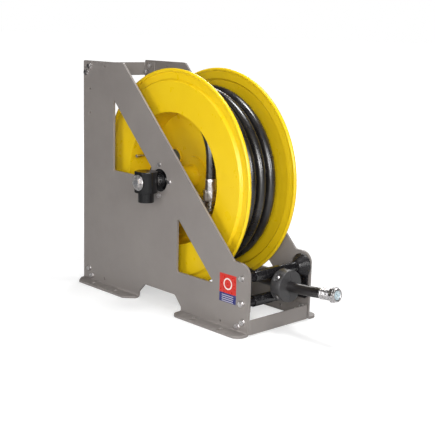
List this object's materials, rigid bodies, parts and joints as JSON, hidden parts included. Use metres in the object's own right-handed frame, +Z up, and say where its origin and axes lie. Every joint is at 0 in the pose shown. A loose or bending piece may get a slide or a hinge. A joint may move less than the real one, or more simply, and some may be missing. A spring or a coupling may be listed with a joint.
{
  "type": "hose reel",
  "caption": "Open-frame spring rewind hose reel: two bent side plates carry a yellow spool wound with black hose, with a side inlet swivel and a roller guide.",
  "frame": {"origin": "on the floor, at the centre of the two foot bolt patterns, below the spool axis", "axes": "+Z up, X across the frame with the inlet swivel at -X, the hose leaves towards -Y"},
  "size_m": [0.2736, 0.6845, 0.505],
  "materials": {
    "frame_paint": "satin",
    "zinc_steel": "satin",
    "machined_steel": "satin",
    "yellow_paint": "gloss",
    "black_enamel": "gloss",
    "bronze": "satin",
    "seal_rubber": "matte",
    "hose_rubber": "satin",
    "black_plastic": "satin",
    "case_paint": "satin",
    "spring_steel": "satin",
    "label_film": "gloss"
  },
  "bodies": {
    "frame": {"left_side_plate": "frame_paint", "right_side_plate": "frame_paint", "rear_top_cross_member": "frame_paint", "rear_bottom_cross_member": "frame_paint", "front_cross_member": "frame_paint", "cross_member_screws": "zinc_steel", "cross_member_nuts": "zinc_steel", "bearing_housing": "black_enamel", "bearing_bush": "bronze", "housing_screws": "zinc_steel", "fixed_arbor": "machined_steel", "arbor_screws": "zinc_steel", "guide_left_bracket": "black_plastic", "guide_right_bracket": "black_plastic", "guide_cone": "black_plastic", "guide_spacers": "black_plastic", "guide_bolts": "zinc_steel", "guide_nuts": "zinc_steel", "side_label": "label_film", "pawl_pin": "zinc_steel", "hose_run": "hose_rubber"},
    "top_roller": {"upper_roller": "black_plastic"},
    "bottom_roller": {"lower_roller": "black_plastic"},
    "pawl_arm": {"pawl": "machined_steel", "pawl_spring": "machined_steel"},
    "inlet_swivel": {"swivel_body": "black_enamel", "swivel_seals": "seal_rubber"},
    "spool": {"swivel_spindle": "machined_steel", "neck_seal": "seal_rubber", "swivel_washer": "zinc_steel", "swivel_cap_nut": "zinc_steel", "ratchet_ring": "machined_steel", "hub": "yellow_paint", "hub_bolts": "zinc_steel", "arbor_bush": "bronze", "outlet_pipe": "machined_steel", "outlet_elbow": "machined_steel", "inner_hose_nut": "zinc_steel", "inner_hose_ferrule": "zinc_steel", "inner_hose": "hose_rubber", "left_flange": "yellow_paint", "right_flange": "yellow_paint", "drum_shell": "yellow_paint", "drum_web": "yellow_paint", "anchor_pin": "zinc_steel", "spring_case": "case_paint", "spring_cover": "case_paint", "power_spring": "spring_steel", "hose_winding": "hose_rubber"},
    "hose_end": {"hose_lead": "hose_rubber", "hose_stop_left": "black_plastic", "hose_stop_right": "black_plastic", "hose_stop_bolts": "zinc_steel", "end_ferrule": "zinc_steel", "end_nut": "zinc_steel", "end_fitting": "zinc_steel"}
  },
  "joints": [
    {"name": "spool_spin", "type": "hinge", "parent": "frame", "child": "spool", "pos_m": [0, 0, 0.27], "axis": [-1, 0, 0], "range_deg": [0, 360], "stiffness_Nm_per_rad": 0.15, "springref_deg": -3036.68},
    {"name": "hose_pull", "type": "slide", "parent": "frame", "child": "hose_end", "axis": [0, -1, 0], "range_m": [0, 1.15611]},
    {"name": "swivel_turn", "type": "hinge", "parent": "frame", "child": "inlet_swivel", "pos_m": [-0.1265, 0, 0.27], "axis": [1, 0, 0], "continuous": true},
    {"name": "upper_roller_spin", "type": "hinge", "parent": "frame", "child": "top_roller", "pos_m": [0, -0.251, 0.1125], "axis": [1, 0, 0], "continuous": true},
    {"name": "lower_roller_spin", "type": "hinge", "parent": "frame", "child": "bottom_roller", "pos_m": [0, -0.251, 0.062], "axis": [1, 0, 0], "continuous": true},
    {"name": "pawl_lift", "type": "hinge", "parent": "frame", "child": "pawl_arm", "pos_m": [-0.073, 0.06, 0.224], "axis": [1, 0, 0], "range_deg": [0, 15], "stiffness_Nm_per_rad": 0.05, "springref_deg": -11.46}
  ],
  "couplings": [
    {"joint": "hose_pull", "follows": "spool_spin", "m_per_rad": 0.184}
  ]
}
